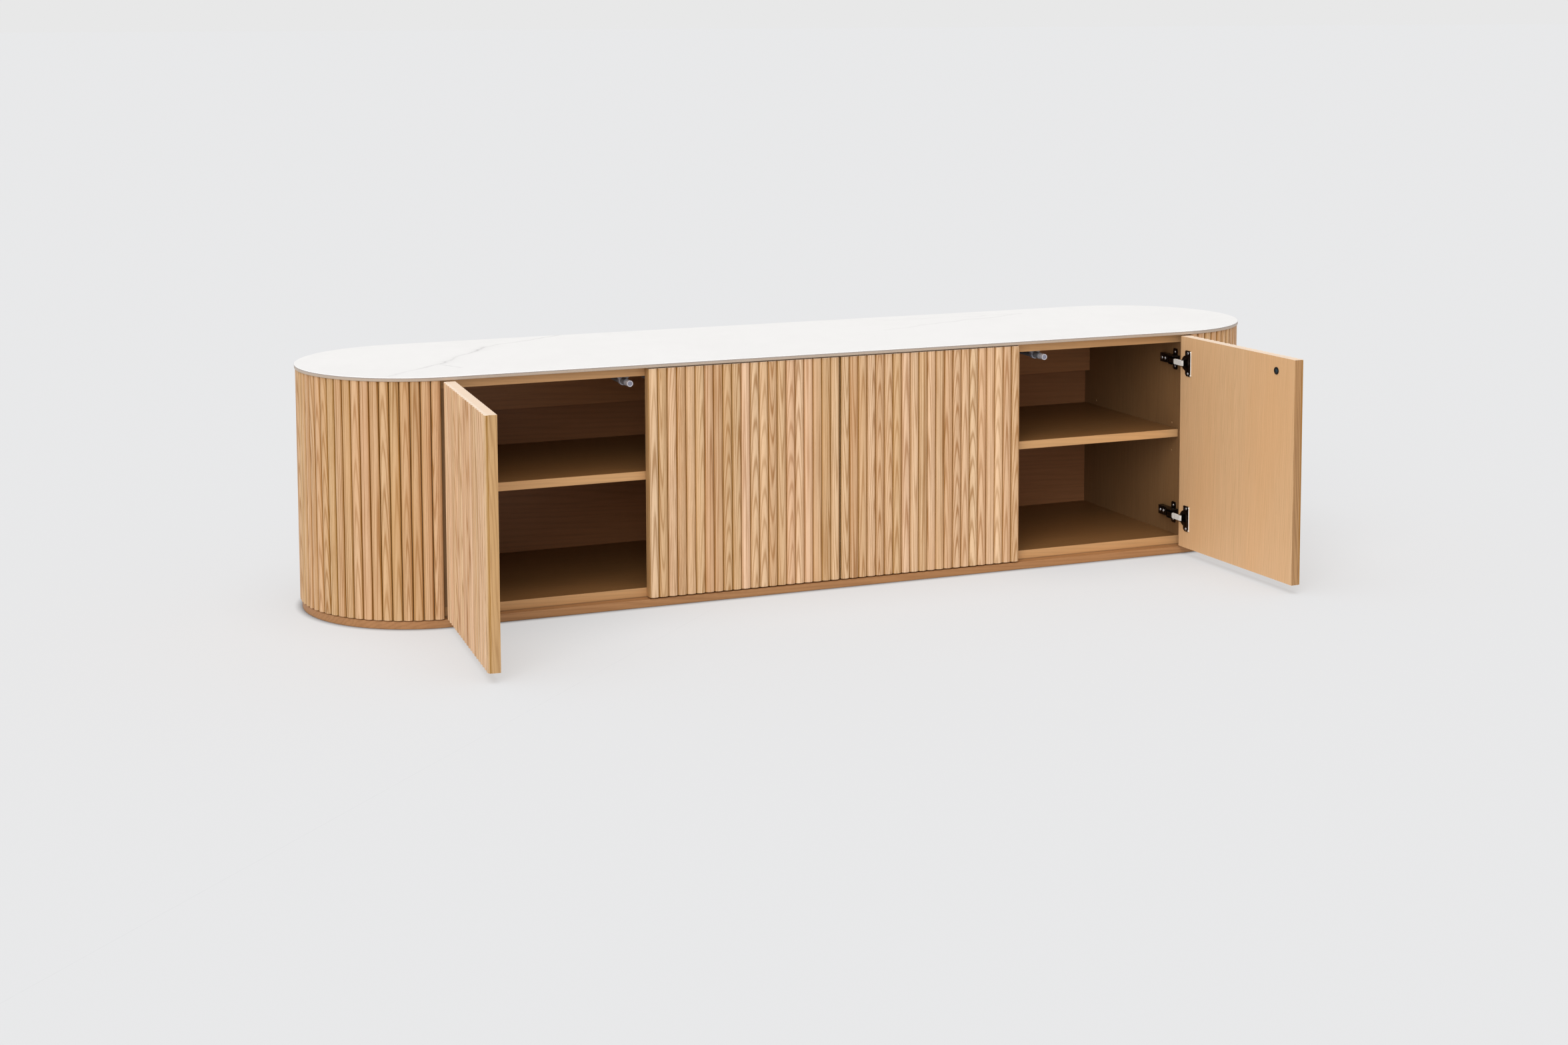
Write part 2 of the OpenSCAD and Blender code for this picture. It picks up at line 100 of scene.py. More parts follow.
class Shading:
    """A node material and short ways to add nodes to it."""

    def __init__(self, name):
        self.material = bpy.data.materials.new(name)
        self.material.use_nodes = True
        self.tree = self.material.node_tree
        self.shader = self.tree.nodes["Principled BSDF"]

    def wire(self, made, inputs):
        """Feeds a node's inputs, from other nodes' outputs or with plain values."""
        for key, value in inputs.items():
            if isinstance(value, bpy.types.NodeSocket):
                self.tree.links.new(value, made.inputs[key])
            else:
                made.inputs[key].default_value = value

    def add(self, kind, inputs=None, **settings):
        """A new shader node with its settings and inputs."""
        made = self.tree.nodes.new("ShaderNode" + kind)
        for key, value in settings.items():
            setattr(made, key, value)
        self.wire(made, inputs or {})
        return made

    def calc(self, operation, a, b=0.0, clamp=False):
        """The result of a sum, product or other operation."""
        made = self.add("Math", {0: a, 1: b}, operation=operation, use_clamp=clamp)
        return made.outputs[0]

    def mix(self, factor, a, b):
        """A colour between a and b."""
        made = self.add("Mix", {0: factor, 6: a, 7: b}, data_type="RGBA", blend_type="MIX")
        return made.outputs[2]

    def noise(self, vector, scale, detail=3.0, roughness=0.5):
        """Fractal noise from 0 to 1."""
        made = self.add("TexNoise", {
            "Vector": vector, "Scale": scale, "Detail": detail, "Roughness": roughness,
        })
        return made.outputs["Fac"]

    def remap(self, value, low, high, out_low=0.0, out_high=1.0):
        """The value, carried from one range to another and held inside it."""
        made = self.add("MapRange", {0: value, 1: low, 2: high, 3: out_low, 4: out_high})
        return made.outputs[0]

    def stretched(self, vector, scale):
        """The vector, multiplied axis by axis."""
        return self.add("Mapping", {"Vector": vector, "Scale": scale}).outputs["Vector"]

    def normal_part(self, axis):
        """One component of the surface's normal."""
        return self.add("SeparateXYZ", {0: self.add("NewGeometry").outputs["Normal"]}).outputs[axis]

    def bump(self, height, distance, strength):
        """Gives the shader a fine relief."""
        made = self.add("Bump", {"Height": height, "Distance": distance, "Strength": strength})
        self.wire(self.shader, {"Normal": made.outputs["Normal"]})


def rgb(red, green, blue):
    """An opaque colour."""
    return (red, green, blue, 1.0)


# Painted light: the upward cut ends of slats and door heads get this pale colour, standing in for the
# strong light from above.
PALE_LIT_END = rgb(0.90, 0.73, 0.58)
LACQUER_ROUGHNESS = 0.52
BASE_DARKNESS = 0.15
PORE_DARKNESS = 0.35
# Painted shade: wood() turns this stored height into near-black shade on that side of the slat.
GAP_SHADE_HEIGHT = -1.0  # the height stored on a slat's side where it faces the gap beside its door


def faded(colour, share):
    """A colour with its three parts multiplied by a share."""
    return tuple(share * part for part in colour[:3]) + (1.0,)


def wood(
    name, light, dark, along,
    slatted=False, banded=None, ring_mm=5.0, contrast=0.5, bold=0.8,
):
    """Oak: early and late wood in bands, fibres and short pores along the grain, a slow drift.

    The grain runs along an axis. Contrast is how much the late wood shows, and bold is how much
    the broad figure does. A slatted wood reads each slat's own cut and tone from the mesh, with
    painted shade low on the slats' flanks and nearly black on a side by a door's hinge gap, and
    painted light on upward faces. A banded one has edging of the given colour on its front
    edges, with painted shade on that edging close to the plinth.
    """
    s = Shading(name)
    if slatted:
        place = s.add("Attribute", attribute_name="grain").outputs["Vector"]
    else:
        place = s.add("TexCoord").outputs["Object"]

    def along_grain(squeeze):
        """The place, squeezed along the grain so that what is drawn there comes out long."""
        scale = [1.0, 1.0, 1.0]
        scale[along] = squeeze
        return s.stretched(place, scale)

    if slatted:
        shape, distortion, late_sharpness = {"wave_type": "RINGS", "rings_direction": "Z"}, 5.0, 3.0
    else:
        shape, distortion, late_sharpness = {"bands_direction": "DIAGONAL"}, 11.0, 2.2
    rings = s.add("TexWave", {
        "Vector": along_grain(0.055), "Scale": math.tau / (20 * ring_mm * MM),
        "Distortion": distortion, "Detail": 2.0, "Detail Scale": 0.45, "Detail Roughness": 0.55,
    }, wave_profile="SIN", **shape).outputs["Fac"]
    fibres = s.noise(along_grain(0.012), scale=620.0, detail=3.0, roughness=0.6)
    pores = s.remap(s.noise(along_grain(0.03), scale=1500.0, detail=2.0), 0.60, 0.74)
    drift = s.noise(along_grain(0.25), scale=9.0, detail=2.0)
    figure = s.noise(along_grain(0.05), scale=1 / (9 * MM), detail=2.0, roughness=0.6)

    late = s.calc("MULTIPLY", s.calc("POWER", rings, late_sharpness), contrast)
    broad = s.calc("MULTIPLY", s.calc("SUBTRACT", figure, 0.5), bold)
    streak = s.calc("ADD", s.calc("SUBTRACT", fibres, 0.5), broad)
    amount = s.calc("ADD", s.calc("ADD", late, streak), BASE_DARKNESS, clamp=True)
    colour = s.mix(amount, light, dark)
    colour = s.mix(s.calc("MULTIPLY", pores, PORE_DARKNESS), colour, dark)
    warm = tuple(c * k for c, k in zip(light, (1.0, 0.90, 0.78, 1.0)))
    colour = s.mix(s.remap(drift, 0.35, 0.75, 0.0, 0.5), colour, warm)
    if slatted:
        tint_and_shade = s.add("Attribute", attribute_name="tint_and_shade").outputs["Vector"]
        split = s.add("SeparateXYZ", {0: tint_and_shade})
        tone, hue, height = split.outputs[0], split.outputs[1], split.outputs[2]
        value = s.remap(tone, 0.0, 1.0, 0.78, 1.06)
        richness = s.remap(tone, 0.0, 1.0, 1.14, 0.94)
        # Painted shade: the slats' flanks darken low towards the groove, and a slat's side facing the gap
        # by its door's hinge goes nearly black.
        groove = s.remap(height, 0.40, 0.78, 0.62, 1.0)
        gap_shade = s.remap(height, GAP_SHADE_HEIGHT, 0.0, 0.22, 1.0)
        shade = s.calc("MULTIPLY", groove, gap_shade)
        colour = s.add("HueSaturation", {
            "Hue": s.remap(hue, 0.0, 1.0, 0.493, 0.502),
            "Saturation": s.calc("DIVIDE", richness, s.calc("POWER", shade, 0.6)),
            "Value": s.calc("MULTIPLY", value, shade), "Color": colour,
        }).outputs["Color"]
        # Painted light: faces that look upwards are painted pale, as lit from above.
        lit_top_face = s.remap(s.normal_part(2), 0.6, 0.8)
        colour = s.mix(lit_top_face, colour, PALE_LIT_END)
    if banded:
        front = s.remap(s.normal_part(1), -0.75, -0.45, 1.0, 0.0)
        height = s.add("SeparateXYZ", {0: place}).outputs[2]
        # Painted shade: the edging darkens over its lowest 3 mm above the plinth, as shade where the board
        # meets it.
        plinth_shade = s.remap(height, PLINTH_T, PLINTH_T + 3 * MM, 0.35, 1.0)
        edging = s.mix(s.calc("MULTIPLY", amount, 0.8), banded, faded(banded, 0.7))
        shaded = s.mix(plinth_shade, rgb(0.0, 0.0, 0.0), edging)
        colour = s.mix(front, colour, shaded)
    s.wire(s.shader, {
        "Base Color": colour,
        "Roughness": s.remap(pores, 0.0, 1.0, LACQUER_ROUGHNESS, LACQUER_ROUGHNESS + 0.2),
        "Specular IOR Level": 0.35,
    })
    s.bump(s.calc("SUBTRACT", fibres, s.calc("MULTIPLY", pores, 0.8)), 0.10 * MM, 0.6)
    return s.material


def ceramic():
    """White sintered stone with soft grey veins, a bare beige edge and a grey line along its rim."""
    s = Shading("ceramic")
    place = s.add("TexCoord").outputs["Object"]
    split = s.add("SeparateXYZ", {0: place})
    bent = []
    for axis, turn in ((0, 0.0), (1, 1.1)):
        turned_place = s.add("Mapping", {"Vector": place, "Rotation": (turn, turn, turn)}).outputs["Vector"]
        waver = s.calc("SUBTRACT", s.noise(turned_place, 9.0, 5.0, 0.6), 0.5)
        bent.append(s.calc("ADD", split.outputs[axis], s.calc("MULTIPLY", waver, 0.07)))
    fade = s.remap(s.noise(place, 6.0, 2.0), 0.30, 0.62, 0.35, 1.0)

    def vein(start, end, width, strength):
        """A soft line from one point of the plan to another, bent by the waver."""
        run = (end[0] - start[0], end[1] - start[1])
        gone = [s.calc("SUBTRACT", bent[k], start[k]) for k in (0, 1)]
        along = s.calc("ADD", s.calc("MULTIPLY", gone[0], run[0]), s.calc("MULTIPLY", gone[1], run[1]))
        share = s.calc("DIVIDE", along, run[0] ** 2 + run[1] ** 2, clamp=True)
        aside = [s.calc("SUBTRACT", gone[k], s.calc("MULTIPLY", share, run[k])) for k in (0, 1)]
        squares = [s.calc("MULTIPLY", part, part) for part in aside]
        distance = s.calc("SQRT", s.calc("ADD", squares[0], squares[1]))
        core = s.calc("POWER", s.remap(distance, 0.0, width, 1.0, 0.0), 2.0)
        return s.calc("MULTIPLY", s.calc("MULTIPLY", core, fade), strength)

    fork, bend, meeting = (-0.82, -0.08), (-0.67, 0.13), (0.66, 0.18)
    lines = [
        vein((-0.97, -0.21), fork, 8 * MM, 0.42),
        vein(fork, bend, 10 * MM, 0.55),
        vein(bend, (-0.43, 0.27), 8 * MM, 0.35),
        vein(fork, (-0.80, -0.15), 6 * MM, 0.30),
        vein(fork, bend, 40 * MM, 0.12),
        vein((0.24, 0.04), meeting, 10 * MM, 0.22),
        vein((0.30, 0.20), meeting, 7 * MM, 0.14),
    ]
    veins = lines[0]
    for line in lines[1:]:
        veins = s.calc("MAXIMUM", veins, line)
    cloud = s.remap(s.noise(place, 3.4, 4.0, 0.6), 0.42, 0.72, 0.0, 0.05)
    face = s.mix(s.calc("ADD", veins, cloud, clamp=True), rgb(0.93, 0.915, 0.90), rgb(0.42, 0.40, 0.40))
    upward = s.normal_part(2)
    speckle = s.remap(s.noise(place, 900.0, 2.0), 0.3, 0.7)
    body = s.mix(speckle, rgb(0.52, 0.42, 0.33), rgb(0.45, 0.35, 0.27))
    rim = s.remap(split.outputs[2], TOP_HIGH.z - 3.2 * MM, TOP_HIGH.z - 2.2 * MM)
    body = s.mix(rim, body, rgb(0.36, 0.31, 0.28))
    s.wire(s.shader, {
        "Base Color": s.mix(s.remap(upward, 0.3, 0.65), body, face),
        "Roughness": s.remap(s.noise(place, 60.0, 3.0), 0.3, 0.7, 0.34, 0.42),
        "Specular IOR Level": 0.45,
    })
    s.bump(s.noise(place, 700.0, 2.0), 0.02 * MM, 0.35)
    return s.material


def metal(name, colour, roughness, metallic=1.0):
    """Plated metal with fine upright drawn lines and slightly uneven gloss."""
    s = Shading(name)
    place = s.add("TexCoord").outputs["Object"]
    lines = s.noise(s.stretched(place, (1.0, 1.0, 0.06)), scale=3200.0, detail=3.0, roughness=0.6)
    patches = s.noise(place, 160.0, 3.0)
    worn = tuple(min(1.0, c * 1.5 + 0.01) for c in colour[:3]) + (1.0,)
    s.wire(s.shader, {
        "Base Color": s.mix(s.remap(patches, 0.45, 0.75, 0.0, 0.5), colour, worn),
        "Roughness": s.remap(patches, 0.3, 0.7, roughness, roughness + 0.14),
        "Metallic": metallic,
    })
    s.bump(lines, 0.02 * MM, 0.3)
    return s.material


def plastic(name, colour, roughness):
    """Moulded plastic with a fine spark-eroded grain."""
    s = Shading(name)
    place = s.add("TexCoord").outputs["Object"]
    grain = s.noise(place, 2400.0, 2.0)
    shade = faded(colour, 0.86)
    s.wire(s.shader, {
        "Base Color": s.mix(s.remap(s.noise(place, 120.0, 3.0), 0.35, 0.7), colour, shade),
        "Roughness": s.remap(grain, 0.3, 0.7, roughness, roughness + 0.12),
    })
    s.bump(grain, 0.02 * MM, 0.3)
    return s.material


X, Z = 0, 2
LIGHT_EDGE = rgb(0.63, 0.355, 0.155)
SLAT_OAK = wood(
    "slat_oak", rgb(0.83, 0.575, 0.355), rgb(0.44, 0.235, 0.10), Z,
    slatted=True, ring_mm=3.2, contrast=0.75, bold=1.2,
)
PANEL_OAK = wood(
    "panel_oak", rgb(0.79, 0.50, 0.27), rgb(0.58, 0.345, 0.165), Z,
    ring_mm=3.0, contrast=0.25, bold=0.4,
)
EDGE_OAK = wood("edge_oak", rgb(0.60, 0.37, 0.17), rgb(0.36, 0.19, 0.07), Z, ring_mm=3.0, bold=1.2)
EDGE_OAK_DARK = wood(
    "edge_oak_dark", rgb(0.46, 0.255, 0.11), rgb(0.25, 0.12, 0.045), Z,
    ring_mm=3.0, bold=1.2,
)
# Painted light: the door heads get this pale copy of the oak, as lit from above.
LIT_TOP_EDGE_OAK = wood("lit_top_edge_oak", PALE_LIT_END, rgb(0.76, 0.55, 0.38), X, ring_mm=4.0, contrast=0.3)
BOARD_OAK = wood("board_oak", rgb(0.58, 0.335, 0.15), rgb(0.38, 0.20, 0.08), X, contrast=0.4)
PLINTH_OAK = wood("plinth_oak", rgb(0.45, 0.225, 0.092), rgb(0.30, 0.135, 0.050), X, contrast=0.4)
# Painted shade: the boards inside the bays are dark copies of the oak, standing in for the shade inside the
# cabinet; the floor and shelf edging keeps an oak colour. The walls' edging is darkened too, the partition
# is darkest so the gap between the middle doors reads dark, and the back keeps a reddish cast of its own.
SHADED_FLOOR_OAK = wood(
    "shaded_bay_floor_oak", rgb(0.26, 0.125, 0.042), rgb(0.17, 0.08, 0.024), X,
    banded=LIGHT_EDGE, ring_mm=4.0, contrast=0.3,
)
SHADED_SHELF_OAK = wood(
    "shaded_shelf_oak", rgb(0.25, 0.12, 0.040), rgb(0.16, 0.075, 0.022), X,
    banded=LIGHT_EDGE, ring_mm=4.0, contrast=0.3,
)
SHADED_WALL_OAK = wood(
    "shaded_wall_oak", rgb(0.27, 0.145, 0.060), rgb(0.19, 0.095, 0.037), Z,
    banded=rgb(0.42, 0.23, 0.10), ring_mm=3.0, contrast=0.25,
)
SHADED_PARTITION_OAK = wood(
    "shaded_partition_oak", rgb(0.20, 0.10, 0.042), rgb(0.13, 0.062, 0.024), Z,
    ring_mm=3.0, contrast=0.25,
)
SHADED_BACK_OAK = wood(
    "shaded_back_oak", rgb(0.42, 0.185, 0.076), rgb(0.29, 0.122, 0.049), X,
    ring_mm=6.0, contrast=0.3,
)
RAIL_OAK = wood(
    "rail_oak", rgb(0.56, 0.255, 0.105), rgb(0.40, 0.175, 0.070), X,
    ring_mm=6.0, contrast=0.3,
)
# Painted shade: the bent end boards, seen only between the end slats, are painted dark as the shade in
# those grooves.
SHADED_GROOVE_OAK = wood(
    "groove_oak", rgb(0.22, 0.12, 0.055), rgb(0.12, 0.06, 0.026), Z,
    ring_mm=4.0, contrast=0.3,
)
CERAMIC = ceramic()
BLACK_NICKEL = metal("black_nickel", rgb(0.060, 0.045, 0.036), 0.30)
STEEL = metal("steel", rgb(0.55, 0.55, 0.56), 0.28)
BLUED_STEEL = metal("blued_steel", rgb(0.05, 0.11, 0.16), 0.30, metallic=0.8)
BLACK_RING = metal("black_ring", rgb(0.012, 0.011, 0.011), 0.35, metallic=0.3)
MAGNET_GREY = plastic("magnet_grey", rgb(0.24, 0.24, 0.31), 0.36)
CLIP_GREY = plastic("clip_grey", rgb(0.33, 0.33, 0.38), 0.38)
GREY_PLASTIC = plastic("grey_plastic", rgb(0.20, 0.205, 0.225), 0.40)
LIGHT_GREY = plastic("light_grey_plastic", rgb(0.58, 0.57, 0.61), 0.34)
WHITE_PLASTIC = plastic("white_plastic", rgb(0.86, 0.83, 0.78), 0.30)


# ---------------------------------------------------------------- mesh building


SHARP_TURN = math.radians(35)


def to_mesh(bm, name):
    """A mesh from bm, with outward faces and smooth shading that breaks at real edges."""
    bmesh.ops.recalc_face_normals(bm, faces=bm.faces)
    mesh = bpy.data.meshes.new(name)
    bm.to_mesh(mesh)
    bm.free()
    mesh.polygons.foreach_set("use_smooth", [True] * len(mesh.polygons))
    mesh.set_sharp_from_angle(angle=math.radians(32))
    return mesh


def piece(bm, name, material, body, replaces=()):
    """Makes bm an object that rides on a body and stands for CAD nodes."""
    mesh = to_mesh(bm, name)
    mesh.materials.append(material)
    made = bpy.data.objects.new(name, mesh)
    bpy.context.scene.collection.objects.link(made)
    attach(made, body)
    if replaces:
        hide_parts(*replaces)
    return made


def join(target, part, matrix):
    """Adds a copy of the bmesh part to target, moved by matrix."""
    made = {v: target.verts.new(matrix @ v.co) for v in part.verts}
    for face in part.faces:
        target.faces.new([made[v] for v in face.verts])


def in_mm(points):
    """The points, which are given in millimetres, in metres."""
    return [(a * MM, b * MM) for a, b in points]


def eased(bm, width):
    """Rounds every edge of bm that turns by more than SHARP_TURN."""
    bmesh.ops.recalc_face_normals(bm, faces=bm.faces)
    sharp = [e for e in bm.edges if e.is_manifold and e.calc_face_angle() > SHARP_TURN]
    bmesh.ops.bevel(
        bm, geom=sharp, offset=width, offset_type="OFFSET", segments=2, profile=0.5,
        affect="EDGES", clamp_overlap=True,
    )
    return bm


def prism(outline, low, high, width=0.0):
    """The plane outline (a list of points) drawn out along Z from low to high, its edges rounded."""
    bm = bmesh.new()
    foot = [bm.verts.new((x, y, low)) for x, y in outline]
    head = [bm.verts.new((x, y, high)) for x, y in outline]
    bm.faces.new(list(reversed(foot)))
    bm.faces.new(head)
    for k, vert in enumerate(foot):
        following = (k + 1) % len(foot)
        bm.faces.new([vert, foot[following], head[following], head[k]])
    return eased(bm, width) if width else bm


def block(low, high, width):
    """A box between two corners with rounded edges."""
    corners = [(low[0], low[1]), (high[0], low[1]), (high[0], high[1]), (low[0], high[1])]
    return prism(corners, low[2], high[2], width)


def turned(profile, steps):
    """A body turned about Z from (radius, height) points, shut at both ends."""
    bm = bmesh.new()
    rings = []
    for radius, height in profile:
        turns = [math.tau * k / steps for k in range(steps)]
        rings.append([bm.verts.new((radius * math.cos(t), radius * math.sin(t), height)) for t in turns])
    for lower, upper in zip(rings, rings[1:]):
        for k in range(steps):
            following = (k + 1) % steps
            bm.faces.new([lower[k], lower[following], upper[following], upper[k]])
    bm.faces.new(list(reversed(rings[0])))
    bm.faces.new(rings[-1])
    return bm


def arc(centre, radius, start_deg, end_deg, steps):
    """Points on an arc, its ends included."""
    turns = [math.radians(start_deg + (end_deg - start_deg) * k / steps) for k in range(steps + 1)]
    return [(centre[0] + radius * math.cos(t), centre[1] + radius * math.sin(t)) for t in turns]


def round_cornered(centre, half, corner, steps):
    """The outline of a rectangle with round corners, from its half sizes."""
    points = []
    for quarter, (across, up) in enumerate(((1, 1), (-1, 1), (-1, -1), (1, -1))):
        middle = (
            centre[0] + across * (half[0] - corner),
            centre[1] + up * (half[1] - corner),
        )
        points += arc(middle, corner, 90 * quarter, 90 * quarter + 90, steps)
    return points


def carved(solid, cutters):
    """The bmesh solid with the cutters taken out of it."""
    base = bpy.data.objects.new("carve_base", to_mesh(solid, "carve_base"))
    bpy.context.scene.collection.objects.link(base)
    tools = []
    for cutter in cutters:
        tool = bpy.data.objects.new("carve_tool", to_mesh(cutter, "carve_tool"))
        bpy.context.scene.collection.objects.link(tool)
        cut = base.modifiers.new("cut", "BOOLEAN")
        cut.operation = "DIFFERENCE"
        cut.solver = "EXACT"
        cut.object = tool
        tools.append(tool)
    evaluated = base.evaluated_get(bpy.context.evaluated_depsgraph_get())
    result = bmesh.new()
    result.from_mesh(evaluated.to_mesh())
    evaluated.to_mesh_clear()
    for spent in [base, *tools]:
        bpy.data.objects.remove(spent)
    return result


# A frame whose Z points along the model's +Y, whose X is the model's X and whose Y is its -Z.
FACING_BACK = Matrix.Rotation(math.radians(-90), 4, "X")
# A frame whose Z points along the model's +X.
FACING_RIGHT = Matrix.Rotation(math.radians(90), 4, "Y")
# A frame whose X, Y and Z are the model's Y, Z and X, for outlines drawn on a side wall.
ON_WALL = Matrix(((0, 0, 1, 0), (1, 0, 0, 0), (0, 1, 0, 0), (0, 0, 0, 1)))
# A frame whose X, Y and Z are the model's X, Z and Y, for outlines drawn facing the doors.
FACING_DOORS = Matrix(((1, 0, 0, 0), (0, 0, 1, 0), (0, 1, 0, 0), (0, 0, 0, 1)))


def at(x, y, z):
    """A move to a place."""
    return Matrix.Translation((x, y, z))


def door_frame(number, opened=True):
    """The frame of a door: x from its hinge edge, y inwards from its slats' crests."""
    joint = joints[f"door_{number}_swing"]
    hand = -joint["axis"][2]
    angle = joint["range_deg"][0] if opened else 0.0
    place = at(joint["pos_m"][0], joint["pos_m"][1], 0.0)
    flip = Matrix.Scale(hand, 4, (1, 0, 0))
    return place @ flip @ Matrix.Rotation(math.radians(angle), 4, "Z")


# ---------------------------------------------------------------- slats


def slat_profile(width):
    """Half-round face towards -y with eased shoulders, from one foot to the other."""
    shoulder = SLAT_T - SLAT_CROWN
    crown_r = (width**2 / 4 + SLAT_CROWN**2) / (2 * SLAT_CROWN)
    points = [(-width / 2, 0.0), (-width / 2, -shoulder + SLAT_EASE)]
    for k in range(CROWN_STEPS + 1):
        x = (-1 + 2 * k / CROWN_STEPS) * (width / 2 - SLAT_EASE * 0.6)
        points.append((x, -(SLAT_T - crown_r) - math.sqrt(crown_r**2 - x**2)))
    points += [(width / 2, -shoulder + SLAT_EASE), (width / 2, 0.0)]
    return points


def add_slat(bm, layers, width, foot, head, matrix, depth_of_tone=1.0, shaded_by_hinge=False):
    """One slat with its own cut of timber: grain says where in the log it was, and a second layer its tone
    and its painted shade.

    That layer holds the tone, the hue and how far a point stands out of the groove; the last sets the
    painted shade low on the slat's flanks.
    A slat by the hinge has painted near-black shade on its outer side, which faces the narrow gap beside
    its door.
    """
    grain, tint_and_shade = layers
    pith = Vector((rng.uniform(-20, 20) * MM, rng.uniform(10, 45) * MM, rng.uniform(0, 9)))
    lean = rng.uniform(-0.05, 0.05)
    tone = rng.betavariate(2.2, 2.0) * depth_of_tone
    hue = rng.random()
    outline = slat_profile(width)
    levels = [(foot, SLAT_EASE), (foot + SLAT_EASE, 0.0), (head - SLAT_EASE, 0.0), (head, SLAT_EASE)]
    rings = []
    for z, inset in levels:
        ring = []
        for x, y in outline:
            drawn_in = (x * (1 - 2 * inset / width), min(0.0, y + inset) if y < 0 else 0.0, z)
            vert = bm.verts.new(matrix @ Vector(drawn_in))
            vert[grain] = Vector((x, y + lean * z, z)) + pith
            # Painted shade: the hinge side of the first slat is marked to be painted nearly black.
            shaded_side = shaded_by_hinge and x < -0.499 * width  # the straight side towards the hinge
            vert[tint_and_shade] = Vector((tone, hue, GAP_SHADE_HEIGHT if shaded_side else min(1.0, -y / SLAT_T)))
            ring.append(vert)
        rings.append(ring)
    count = len(outline)
    for lower, upper in zip(rings, rings[1:]):
        for k in range(count):
            following = (k + 1) % count
            bm.faces.new([lower[k], lower[following], upper[following], upper[k]])
    bm.faces.new(list(reversed(rings[0])))
    bm.faces.new(rings[-1])


def slat_bmesh():
    """An empty bmesh and its two layers: grain, and tone with painted shade."""
    bm = bmesh.new()
    return bm, (bm.verts.layers.float_vector.new("grain"), bm.verts.layers.float_vector.new("tint_and_shade"))


def door_slats(number):
    """The reeding of a door, side by side from its hinge edge."""
    bm, layers = slat_bmesh()
    pitch = DOOR_W / SLATS_PER_DOOR
    for k in range(SLATS_PER_DOOR):
        place = door_frame(number) @ at((k + 0.5) * pitch, SLAT_T, 0.0)
        add_slat(bm, layers, pitch - DOOR_SLAT_GAP, DOOR_FOOT, DOOR_HEAD, place, shaded_by_hinge=k == 0)
    name = f"door_{number}_slats"
    piece(bm, f"door_{number}_reeding", SLAT_OAK, f"door_{number}", [name])


def end_slats(side_name):
    """The reeding of a half-round end, standing on its bent boards."""
    side = SIDES[side_name]
    bm, layers = slat_bmesh()
    start = math.asin((END_SLAT_X - STRAIGHT_HALF) / CREST_R)
    step = (math.pi - 2 * start) / SLATS_PER_END
    width = SHELL_R * step - END_SLAT_GAP
    node = f"end_slats_{side_name}"
    foot, head = (corner.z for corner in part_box(node))
    for k in range(SLATS_PER_END):
        turn = Matrix.Rotation(side * (start + (k + 0.5) * step), 4, "Z")
        place = at(side * STRAIGHT_HALF, 0, 0) @ turn @ at(0, -SHELL_R, 0)
        # The end slats keep to the lower, darker and richer tones: partly their own tone, partly painted
        # shade for the less light that reaches the round ends.
        add_slat(bm, layers, width, foot, head, place, depth_of_tone=0.35)
    piece(bm, f"end_reeding_{side_name}", SLAT_OAK, "cabinet", [node])


# ---------------------------------------------------------------- boards


def dress(node, material, ease_mm=0.0):
    """Gives a CAD node its material and, for a board, eased edges."""
    shown = nodes[node]
    shown.data.materials.clear()
    shown.data.materials.append(material)
    if not ease_mm:
        return
    weld = shown.modifiers.new("weld", "WELD")
    weld.merge_threshold = 0.01 * MM
    bevel = shown.modifiers.new("ease", "BEVEL")
    bevel.width = ease_mm * MM
    bevel.segments = 2
    bevel.limit_method = "ANGLE"
    bevel.angle_limit = math.radians(40)
    bevel.use_clamp_overlap = True


def dress_door(number):
    """A door panel: veneered faces, edging up its sides, its head face painted pale as lit from above."""
    node = f"door_{number}_panel"
    dress(node, PANEL_OAK, ease_mm=0.7)
    mesh = nodes[node].data
    mesh.materials.append(EDGE_OAK_DARK if number == DOORS[-1] else EDGE_OAK)
    mesh.materials.append(LIT_TOP_EDGE_OAK)
    veneer, edging, head = range(3)
    inwards = door_frame(number).to_3x3() @ Vector((0, 1, 0))
    for face in mesh.polygons:
        # Painted light: the upward head face takes the pale lit copy of the oak.
        if face.normal.z > 0.9:
            face.material_index = head
        elif abs(face.normal.dot(inwards)) < 0.5:
            face.material_index = edging
        else:
            face.material_index = veneer


def dress_boards():
    """Gives every CAD board, and the pins and dowels, its material."""
    dress("ceramic_top", CERAMIC)
    dress("plinth", PLINTH_OAK)
    dress("carcass_bottom", SHADED_FLOOR_OAK, ease_mm=0.8)
    dress("carcass_top", SHADED_FLOOR_OAK, ease_mm=0.8)
    dress("centre_partition", SHADED_PARTITION_OAK, ease_mm=0.8)
    for side in SIDES:
        dress(f"side_panel_{side}", SHADED_WALL_OAK, ease_mm=0.6)
        dress(f"back_panel_{side}", SHADED_BACK_OAK, ease_mm=0.5)
        dress(f"rear_rail_{side}", RAIL_OAK, ease_mm=0.6)
        dress(f"shelf_{side}", SHADED_SHELF_OAK, ease_mm=1.0)
        dress(f"end_shell_{side}", SHADED_GROOVE_OAK)
        dress(f"end_formers_{side}", BOARD_OAK)
    for number in DOORS:
        dress_door(number)
    dress("carcass_dowels", BOARD_OAK)
    dress("shelf_pins", STEEL)


# ---------------------------------------------------------------- hinges


